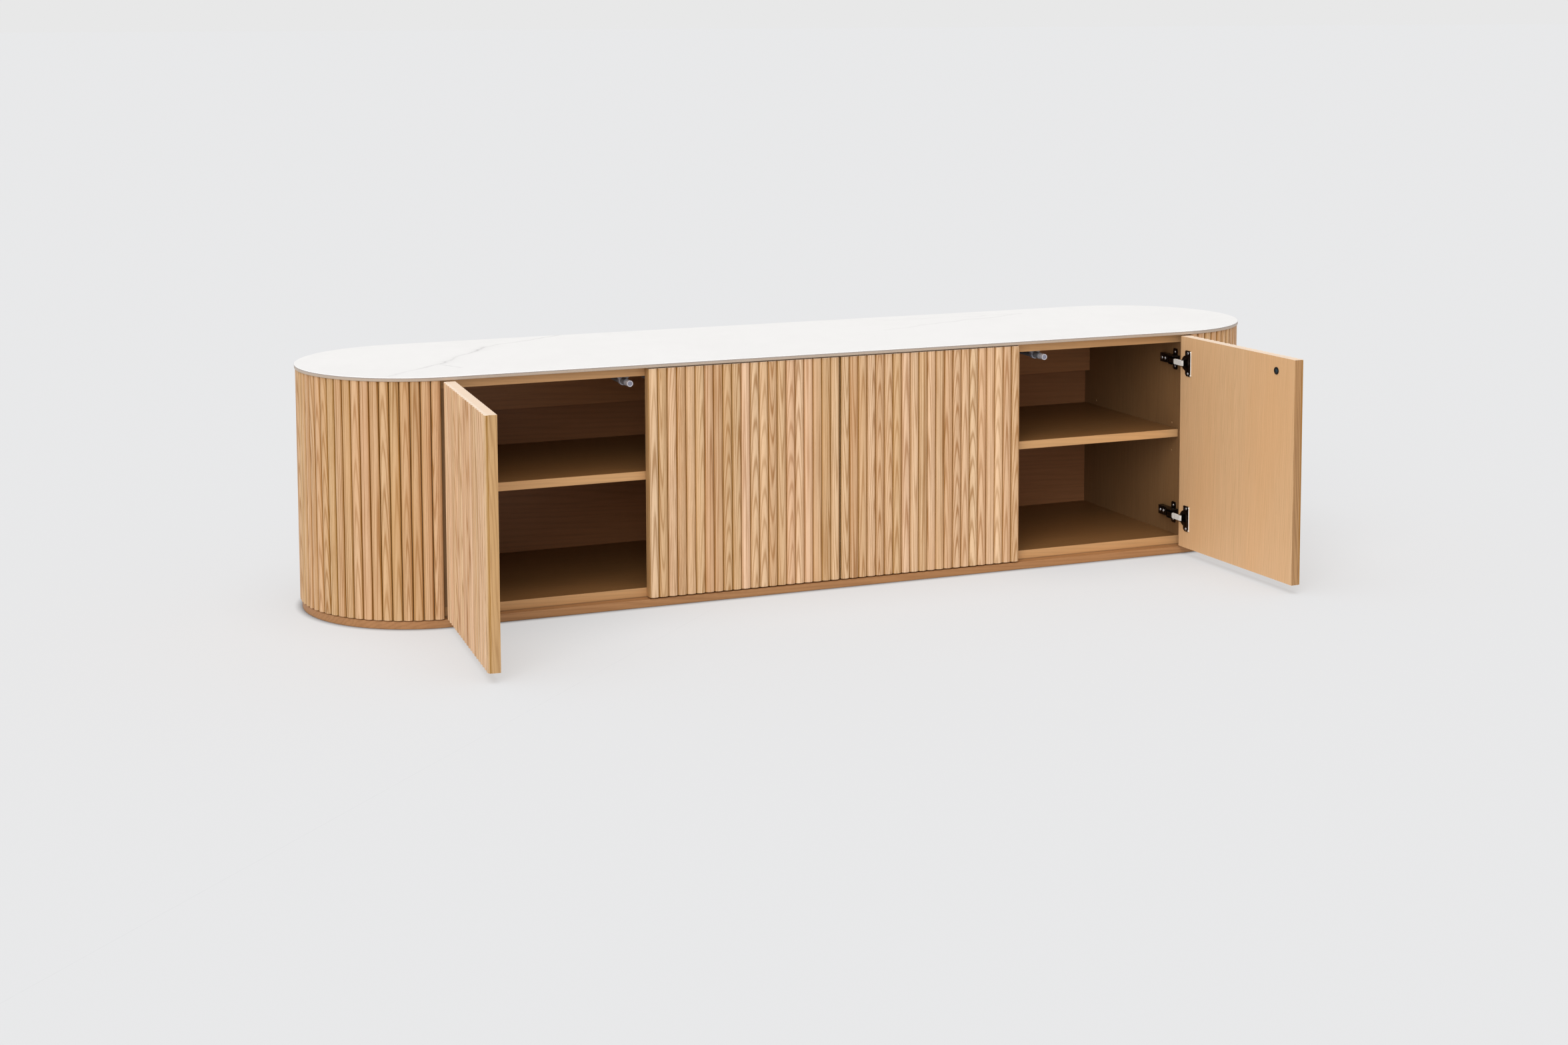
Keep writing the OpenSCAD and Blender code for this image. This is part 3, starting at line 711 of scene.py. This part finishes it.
# Places and sizes in a door's own frame: x from its hinge edge, y inwards from the slats' crests
# and z from the middle of the hinge.
TRIM_H = 56 * MM
TRIM_W = 1.4 * MM
PEG_Z = 26.2 * MM
CUP_R = 17.5 * MM
CUP_X = 22.5 * MM
CUP_DEPTH = 11.5 * MM
CUP_FLOOR_T = 1.2 * MM
MOUTH_X = (10 * MM, 30 * MM)
MOUTH_HALF = 9 * MM
FLANGE_X = (19 * MM, 40 * MM)
FLANGE_H = 58 * MM
FLANGE_T = 1.5 * MM
FLANGE_SCREW = (30 * MM, 23 * MM)
RIB_X = (33.5 * MM, 38 * MM)
RIB_HALF = 17 * MM
RIB_RISE = 0.6 * MM
PIN_R = 1.15 * MM
PIN_HALF = 7.4 * MM
EAR_HALF = 3 * MM
EAR_T = 1 * MM
EAR_RISE = 2.4 * MM
LINK_X = 18 * MM
LINK_Y = DOOR_T + 8 * MM

# The link, from its pivot: half sizes of its bar and of the damper on it.
BAR_HALF_T = 1.2 * MM
BAR_HALF_H = 5 * MM
DAMPER_HALF_T = 1.9 * MM
DAMPER_HALF_H = 6.2 * MM
DAMPER_STRAIGHT = 31 * MM
DAMPER_CORNER = 4 * MM
BORE_R = PIN_R + 0.1 * MM
RECESS_HALF = 4.2 * MM
RECESS_Y = (3.5 * MM, 29 * MM)
RECESS_FLOOR = 1.45 * MM
RECESS_OUT = 3 * MM

# The arm on the wall: x from the wall, y inwards, z from the middle of the hinge.
PLATE_T = 1.5 * MM
WING_Y = 47 * MM
WING_HALF = (9 * MM, 24 * MM)
WING_CORNER = 4 * MM
WING_SCREW_Z = 16 * MM
ARM_SHEET = 1.5 * MM
ARM_Y = (27 * MM, 95 * MM)
ARM_HALF = 10 * MM
COVER_X = (12.2 * MM, 13.5 * MM)
COVER_Y = (60 * MM, 91.5 * MM)
COVER_HALF = 9.2 * MM
CAM_Y = (70 * MM, 84 * MM)

SOFT_EDGE = 0.3 * MM
SUNK = 0.05 * MM  # how far a fitting is let into the one it stands on
SLIVER = 0.02 * MM  # keeps two faces off each other
WOOD_SCREW = (3.2 * MM, 1.3 * MM)
CAM_SCREW = (4.0 * MM, 1.6 * MM)


def hinge_heights():
    """The heights of a door's two hinges, from the strips that stand centred on them."""
    low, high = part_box("door_2_hinge_trims")
    return [low.z + TRIM_H / 2, high.z - TRIM_H / 2]


def screw_head(radius, height):
    """A pan head with a cross recess, standing on z = 0."""
    profile = [(radius, 0), (radius, 0.35 * height), (0.86 * radius, 0.8 * height), (0.5 * radius, height)]
    head = turned(profile, 24)
    reach, thin = 0.62 * radius, 0.13 * radius
    floor = 0.42 * height
    cutters = [
        block((-reach, -thin, floor), (reach, thin, 2 * height), 0),
        block((-thin, -reach, floor), (thin, reach, 2 * height), 0),
    ]
    return carved(head, cutters)


def flange_outline():
    """The flange in the door's plane: straight at its far side, round over the cup, soft corners."""
    half = FLANGE_H / 2
    near, far = FLANGE_X
    corner = 3 * MM
    low_corner = 8 * MM
    reach = math.degrees(math.acos((near - CUP_X + 0.001 * MM) / CUP_R))
    points = arc((far - corner, half - corner), corner, 0, 90, 4)
    points += arc((near + corner, half - corner), corner, 90, 180, 4)
    points += arc((CUP_X, 0), CUP_R, reach, 360 - reach, 20)
    points += arc((near + low_corner, -half + low_corner), low_corner, 180, 270, 6)
    points += arc((far - corner, -half + corner), corner, 270, 360, 4)
    return points


def hinge_cup():
    """A cup, its flange and the two ears of the link's pin, in the door's frame at z = 0."""
    bm = bmesh.new()
    on_face = at(0, DOOR_T, 0) @ Matrix.Rotation(math.radians(90), 4, "X") @ Matrix.Scale(-1, 4, (0, 0, 1))
    mouth = block(
        (MOUTH_X[0], -MOUTH_HALF, CUP_FLOOR_T - CUP_DEPTH), (MOUTH_X[1], MOUTH_HALF, 4 * MM), 0,
    )
    plate = carved(prism(flange_outline(), 0, FLANGE_T, 0.35 * MM), [mouth.copy()])
    barrel = turned([(CUP_R, -CUP_DEPTH), (CUP_R, -SLIVER)], 48)
    bmesh.ops.translate(barrel, verts=barrel.verts, vec=(CUP_X, 0, 0))
    join(bm, plate, on_face)
    join(bm, carved(barrel, [mouth]), on_face)
    rib = block(
        (RIB_X[0], -RIB_HALF, FLANGE_T - SUNK), (RIB_X[1], RIB_HALF, FLANGE_T + RIB_RISE), SOFT_EDGE,
    )
    join(bm, rib, on_face)
    ear_foot = DOOR_T - CUP_DEPTH + CUP_FLOOR_T + SUNK
    for side in (-1, 1):
        ear_low = side * PIN_HALF - EAR_T / 2
        ear = block(
            (LINK_X - EAR_HALF, ear_foot, ear_low),
            (LINK_X + EAR_HALF, LINK_Y + EAR_RISE, ear_low + EAR_T), SOFT_EDGE,
        )
        join(bm, ear, Matrix.Identity(4))
        rivet = turned(in_mm([(1.9, 0), (1.9, 0.2), (1.3, 0.4)]), 20)
        outer = Matrix.Identity(4) if side > 0 else Matrix.Rotation(math.pi, 4, "X")
        join(bm, rivet, at(LINK_X, LINK_Y, side * (PIN_HALF + EAR_T / 2 - SUNK)) @ outer)
    pin = turned([(PIN_R, -PIN_HALF), (PIN_R, PIN_HALF)], 16)
    join(bm, pin, at(LINK_X, LINK_Y, 0))
    return bm


def door_hinges(number):
    """The fittings that ride on a door."""
    name = f"door_{number}"
    cup = hinge_cup()
    head = screw_head(*WOOD_SCREW)
    peg = turned(in_mm([(1.6, 0), (1.6, 1.9), (1.0, 2.4)]), 16)
    cups, strips, screws = bmesh.new(), bmesh.new(), bmesh.new()
    screw_x, screw_z = FLANGE_SCREW
    for z in hinge_heights():
        place = door_frame(number) @ at(0, 0, z)
        join(cups, cup, place)
        strip = block(
            (FLANGE_X[1] + SLIVER, DOOR_T, -TRIM_H / 2),
            (FLANGE_X[1] + TRIM_W, DOOR_T + FLANGE_T, TRIM_H / 2), SOFT_EDGE,
        )
        join(strips, strip, place)
        for end in (-1, 1):
            join(strips, peg, place @ at(FLANGE_X[1] + SOFT_EDGE, DOOR_T, end * PEG_Z) @ FACING_BACK)
            join(screws, head, place @ at(screw_x, DOOR_T + FLANGE_T, end * screw_z) @ FACING_BACK)
    piece(cups, f"{name}_hinge_bodies", BLACK_NICKEL, name, [f"{name}_hinge_cups"])
    piece(strips, f"{name}_hinge_strips", WHITE_PLASTIC, name, [f"{name}_hinge_trims"])
    piece(screws, f"{name}_flange_screws", STEEL, name, [f"{name}_cup_screws"])
    links(number)


def damper():
    """A link's white block, hollow on both sides and bored for its pin, along +Y from the pivot."""
    corner_x = DAMPER_HALF_H - DAMPER_CORNER
    outline = [(-DAMPER_HALF_H, -DAMPER_HALF_T), (DAMPER_HALF_H, -DAMPER_HALF_T)]
    outline += arc((corner_x, DAMPER_STRAIGHT), DAMPER_CORNER, 0, 90, 5)
    outline += arc((-corner_x, DAMPER_STRAIGHT), DAMPER_CORNER, 90, 180, 5)
    solid = prism(outline, -DAMPER_HALF_T, DAMPER_HALF_T, 0.5 * MM)
    near, far = RECESS_Y
    hollow = [(-RECESS_HALF, near), (RECESS_HALF, near), (RECESS_HALF, far), (-RECESS_HALF, far)]
    recess = prism(hollow, RECESS_FLOOR, RECESS_OUT)
    other = prism(hollow, -RECESS_OUT, -RECESS_FLOOR)
    bore = turned([(BORE_R, -9 * MM), (BORE_R, 9 * MM)], 24)
    bore.transform(FACING_RIGHT)
    return carved(solid, [recess, other, bore])


def links(number):
    """White damper blocks on dark steel bars, which keep their direction as the door turns."""
    joint = joints[f"door_{number}_link_turn"]
    pivot_x, pivot_y = joint["pos_m"][0], joint["pos_m"][1]
    length = span(f"door_{number}_hinge_links", 1) - 2 * MM
    bar = block(
        (-BAR_HALF_T, DAMPER_HALF_T, -BAR_HALF_H), (BAR_HALF_T, length, BAR_HALF_H), 0.4 * MM,
    )
    white = damper()
    bars, blocks = bmesh.new(), bmesh.new()
    for z in hinge_heights():
        place = at(pivot_x, pivot_y, z)
        join(bars, bar, place)
        join(blocks, white, place @ FACING_RIGHT)
    body = f"door_{number}_links"
    piece(bars, f"door_{number}_link_bars", BLACK_NICKEL, body)
    stood_for = f"door_{number}_hinge_links"
    piece(blocks, f"door_{number}_dampers", WHITE_PLASTIC, body, [stood_for])


def wall_arm():
    """The channel of an arm with the cover over its open side, x from the wall."""
    bm = bmesh.new()
    web = block((PLATE_T, ARM_Y[0], -ARM_HALF), (PLATE_T + ARM_SHEET, ARM_Y[1], ARM_HALF), 0.4 * MM)
    join(bm, web, Matrix.Identity(4))
    cheek = in_mm([(1.5, 27), (21.5, 27), (21.5, 43), (13.6, 58), (13.6, 92), (1.5, 95)])
    for low in (-ARM_HALF, ARM_HALF - ARM_SHEET):
        join(bm, prism(cheek, low, low + ARM_SHEET, 0.35 * MM), Matrix.Identity(4))
    cover = block(
        (COVER_X[0], COVER_Y[0], -COVER_HALF), (COVER_X[1], COVER_Y[1], COVER_HALF), 0.4 * MM,
    )
    join(bm, cover, Matrix.Identity(4))
    return bm


def wall_arms():
    """The plates, arms and screws on the walls and the partition."""
    plates, arms, screws = bmesh.new(), bmesh.new(), bmesh.new()
    wing = prism(round_cornered((WING_Y, 0), WING_HALF, WING_CORNER, 4), 0, PLATE_T, SOFT_EDGE)
    arm = wall_arm()
    head, cam = screw_head(*WOOD_SCREW), screw_head(*CAM_SCREW)
    for number in DOORS:
        for z in hinge_heights():
            place = door_frame(number, opened=False) @ at(WALL_REVEAL, 0, z)
            join(plates, wing, place @ ON_WALL)
            join(arms, arm, place)
            for side in (-1, 1):
                join(screws, head, place @ at(PLATE_T, WING_Y, side * WING_SCREW_Z) @ FACING_RIGHT)
            for y in CAM_Y:
                join(screws, cam, place @ at(COVER_X[1], y, 0) @ FACING_RIGHT)
    piece(plates, "wing_plates", BLACK_NICKEL, "cabinet", ["hinge_plates"])
    piece(arms, "arm_channels", BLACK_NICKEL, "cabinet", ["hinge_arms"])
    piece(screws, "arm_screws", STEEL, "cabinet", ["hinge_plate_screws"])


# ---------------------------------------------------------------- latches and strikes


LATCH_BORE = 70 * MM
SADDLE_R = 9 * MM
SADDLE_HALF = 6 * MM
TUBE_CLEAR_R = 7.02 * MM
CLIP_SCREW_X = 18 * MM
CLIP_SCREW_RISE = 9.4 * MM
STRIKE_SCREW = (3.7 * MM, 0.9 * MM)


def strikes(number):
    """A black ring let into the door, with a steel screw in its middle."""
    name = f"door_{number}_strike"
    opened = door_frame(number)
    low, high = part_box(name)
    centre = opened.inverted() @ ((low + high) / 2)
    place = opened @ at(centre.x, DOOR_T, centre.z) @ FACING_BACK
    ring, screw = bmesh.new(), bmesh.new()
    profile = in_mm([
        (5.0, -8.0), (5.0, 0.0), (8.0, 0.02), (8.0, 1.0), (7.5, 1.5), (5.4, 1.5), (4.6, 0.9), (3.6, 0.3),
    ])
    join(ring, turned(profile, 40), place)
    join(screw, screw_head(*STRIKE_SCREW), place @ at(0, 0, 0.31 * MM))
    piece(ring, f"door_{number}_strike_ring", BLACK_RING, f"door_{number}", [name])
    piece(screw, f"door_{number}_strike_screw", BLUED_STEEL, f"door_{number}")


def latch(number, bodies, clips, screws):
    """A tube in a saddle clip with spread wings, screwed up under the carcass top."""
    low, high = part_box(f"latch_{number}_plunger")
    x, z = (low.x + high.x) / 2, (low.z + high.z) / 2
    front, rear = (corner.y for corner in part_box("latch_bodies"))
    length = (rear - front) / MM
    back = [(4.2, length), (6.6, length), (7.0, length - 0.6)]
    groove = [(7.0, 13.0), (6.6, 12.6), (6.6, 11.4), (7.0, 11.0)]
    mouth = [(7.0, 0.3), (6.7, 0.0), (5.6, 0.0), (5.6, LATCH_BORE / MM)]
    join(bodies, turned(in_mm(back + groove + mouth), 36), at(x, front, z) @ FACING_BACK)
    top = (CEILING_Z - z) / MM
    wing = [(9.0, 3.5), (12.0, 7.0), (23.0, top - 1.6), (23.0, top)]
    outline = [(-SADDLE_R, 0.0)] + arc((0, 0), SADDLE_R, 180, 360, 16)[1:]
    outline += in_mm(wing) + in_mm([(-r, h) for r, h in reversed(wing)])
    hole = turned([(TUBE_CLEAR_R, -20 * MM), (TUBE_CLEAR_R, 20 * MM)], 36)
    window = block((-5 * MM, 7.9 * MM, -20 * MM), (5 * MM, (top - 2.6) * MM, 20 * MM), 0)
    saddle = carved(prism(outline, -SADDLE_HALF, SADDLE_HALF, 0.5 * MM), [hole, window])
    clip_low, clip_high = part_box("latch_clips")
    clip_y = (clip_low.y + clip_high.y) / 2
    join(clips, saddle, at(x, clip_y, z) @ FACING_DOORS)
    downward = Matrix.Rotation(math.pi, 4, "X")
    for side in (-1, 1):
        place = at(x + side * CLIP_SCREW_X, clip_y, z + CLIP_SCREW_RISE)
        join(screws, screw_head(*WOOD_SCREW), place @ downward)


def plunger(number):
    """The sliding rod: a pale ring head round a dark magnet."""
    name = f"latch_{number}_plunger"
    low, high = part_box(name)
    place = at((low.x + high.x) / 2, low.y, (low.z + high.z) / 2) @ FACING_BACK
    rod, magnet = bmesh.new(), bmesh.new()
    length = (high.y - low.y) / MM
    ring = [(4.4, 1.2), (4.9, 0.0), (6.1, 0.0), (6.5, 0.5), (6.5, 7.4), (5.9, 8.0)]
    shank = [(5.5, 8.4), (5.5, length)]
    join(rod, turned(in_mm(ring + shank), 36), place)
    join(magnet, turned(in_mm([(4.38, 1.22), (4.3, 0.7), (3.9, 0.6)]), 28), place)
    piece(rod, f"latch_{number}_rod", LIGHT_GREY, f"latch_{number}", [name])
    piece(magnet, f"latch_{number}_magnet", MAGNET_GREY, f"latch_{number}")


def latches():
    """Every door's latch, its plunger and the strike that it meets."""
    bodies, clips, screws = bmesh.new(), bmesh.new(), bmesh.new()
    for number in DOORS:
        latch(number, bodies, clips, screws)
        plunger(number)
        strikes(number)
    piece(bodies, "latch_tubes", GREY_PLASTIC, "cabinet", ["latch_bodies"])
    piece(clips, "latch_saddles", CLIP_GREY, "cabinet", ["latch_clips"])
    piece(screws, "latch_clip_screws", STEEL, "cabinet", ["latch_screws"])


# ---------------------------------------------------------------- stage, light and camera


BACKGROUND = 0.807
# Painted contact shadow: the floor's glow dims where something stands within this reach.
CONTACT_REACH = DOOR_FOOT - 1 * MM  # too short to reach the doors, so only the plinth makes a line
GLOW_SHARE = 0.55
FLOOR_REACH = 250.0
SURROUND = 0.50


def stage_floor():
    """A pale floor that shows soft shadows at part strength and a painted contact shadow, a narrow line
    along the plinth.
    """
    s = Shading("stage_floor")
    s.wire(s.shader, {"Base Color": rgb(0.725, 0.730, 0.745), "Roughness": 0.9, "Specular IOR Level": 0.0})
    # Painted shade: ambient occlusion dims the glow close to the plinth.
    near = s.add("AmbientOcclusion", {"Distance": CONTACT_REACH}).outputs["AO"]
    glow = s.add("Emission", {"Color": rgb(1, 1, 1), "Strength": s.remap(near, 0.5, 1.0, 0.0, BACKGROUND)})
    blend = s.add("MixShader", {0: GLOW_SHARE, 1: s.shader.outputs[0], 2: glow.outputs[0]})
    s.tree.links.new(blend.outputs[0], s.tree.nodes["Material Output"].inputs["Surface"])
    bm = bmesh.new()
    corners = [(-1, -1), (1, -1), (1, 1), (-1, 1)]
    bm.faces.new([bm.verts.new((FLOOR_REACH * x, FLOOR_REACH * y, 0)) for x, y in corners])
    mesh = bpy.data.meshes.new("floor")
    bm.to_mesh(mesh)
    bm.free()
    mesh.materials.append(s.material)
    floor = bpy.data.objects.new("floor", mesh)
    bpy.context.scene.collection.objects.link(floor)


def sun(name, direction, strength, softness_deg):
    """A far soft white light that shines along a direction."""
    data = bpy.data.lights.new(name, "SUN")
    data.energy = strength
    data.angle = math.radians(softness_deg)
    lamp = bpy.data.objects.new(name, data)
    lamp.rotation_euler = Vector(direction).to_track_quat("-Z", "Y").to_euler()
    bpy.context.scene.collection.objects.link(lamp)


def light():
    """An even pale surround, a soft key from above and a fill from the front left.

    The camera sees the surround as bright as the floor, but it lights the cabinet less.
    """
    world = bpy.data.worlds.new("surround")
    bpy.context.scene.world = world
    world.use_nodes = True
    tree = world.node_tree
    seen = tree.nodes.new("ShaderNodeLightPath").outputs["Is Camera Ray"]
    lit = tree.nodes["Background"]
    lit.inputs["Color"].default_value = rgb(1.0, 1.0, 1.0)
    lit.inputs["Strength"].default_value = SURROUND
    shown = tree.nodes.new("ShaderNodeBackground")
    shown.inputs["Color"].default_value = rgb(1.0, 1.0, 1.0)
    shown.inputs["Strength"].default_value = BACKGROUND
    mixed = tree.nodes.new("ShaderNodeMixShader")
    tree.links.new(seen, mixed.inputs[0])
    tree.links.new(lit.outputs[0], mixed.inputs[1])
    tree.links.new(shown.outputs[0], mixed.inputs[2])
    tree.links.new(mixed.outputs[0], tree.nodes["World Output"].inputs["Surface"])
    sun("key_above", direction=(0.15, 0.10, -1.0), strength=1.35, softness_deg=60)
    sun("fill_left", direction=(0.60, 0.85, -0.55), strength=1.35, softness_deg=45)
    bpy.context.scene.view_settings.view_transform = "Standard"


SENSOR_MM = 36.0
LENS_MM = 55.08827
SHIFT_Y = -0.170068
EYE = (-2.0249, -4.8545, 1.2116)
YAW = 0.3909  # radians, to the right of +Y
PITCH = 0.0989  # radians, downwards
ROLL = -0.0037


def camera():
    """The photograph's viewpoint: a long lens from the front left, a little above the top."""
    data = bpy.data.cameras.new("camera")
    data.sensor_width = SENSOR_MM
    data.lens = LENS_MM
    data.shift_y = SHIFT_Y
    data.clip_end = 400.0
    made = bpy.data.objects.new("camera", data)
    ahead = Vector((math.sin(YAW) * math.cos(PITCH), math.cos(YAW) * math.cos(PITCH), -math.sin(PITCH)))
    right = Vector((math.cos(YAW), -math.sin(YAW), 0.0))
    up = right.cross(ahead)
    turn = Matrix((right, up, -ahead)).transposed().to_4x4()
    made.matrix_world = Matrix.Translation(EYE) @ turn @ Matrix.Rotation(ROLL, 4, "Z")
    bpy.context.scene.collection.objects.link(made)
    bpy.context.scene.camera = made


# ---------------------------------------------------------------- the scene


camera()
light()
stage_floor()
dress_boards()
for door_number in DOORS:
    door_slats(door_number)
for end_name in SIDES:
    end_slats(end_name)
for door_number in DOORS:
    door_hinges(door_number)
wall_arms()
latches()
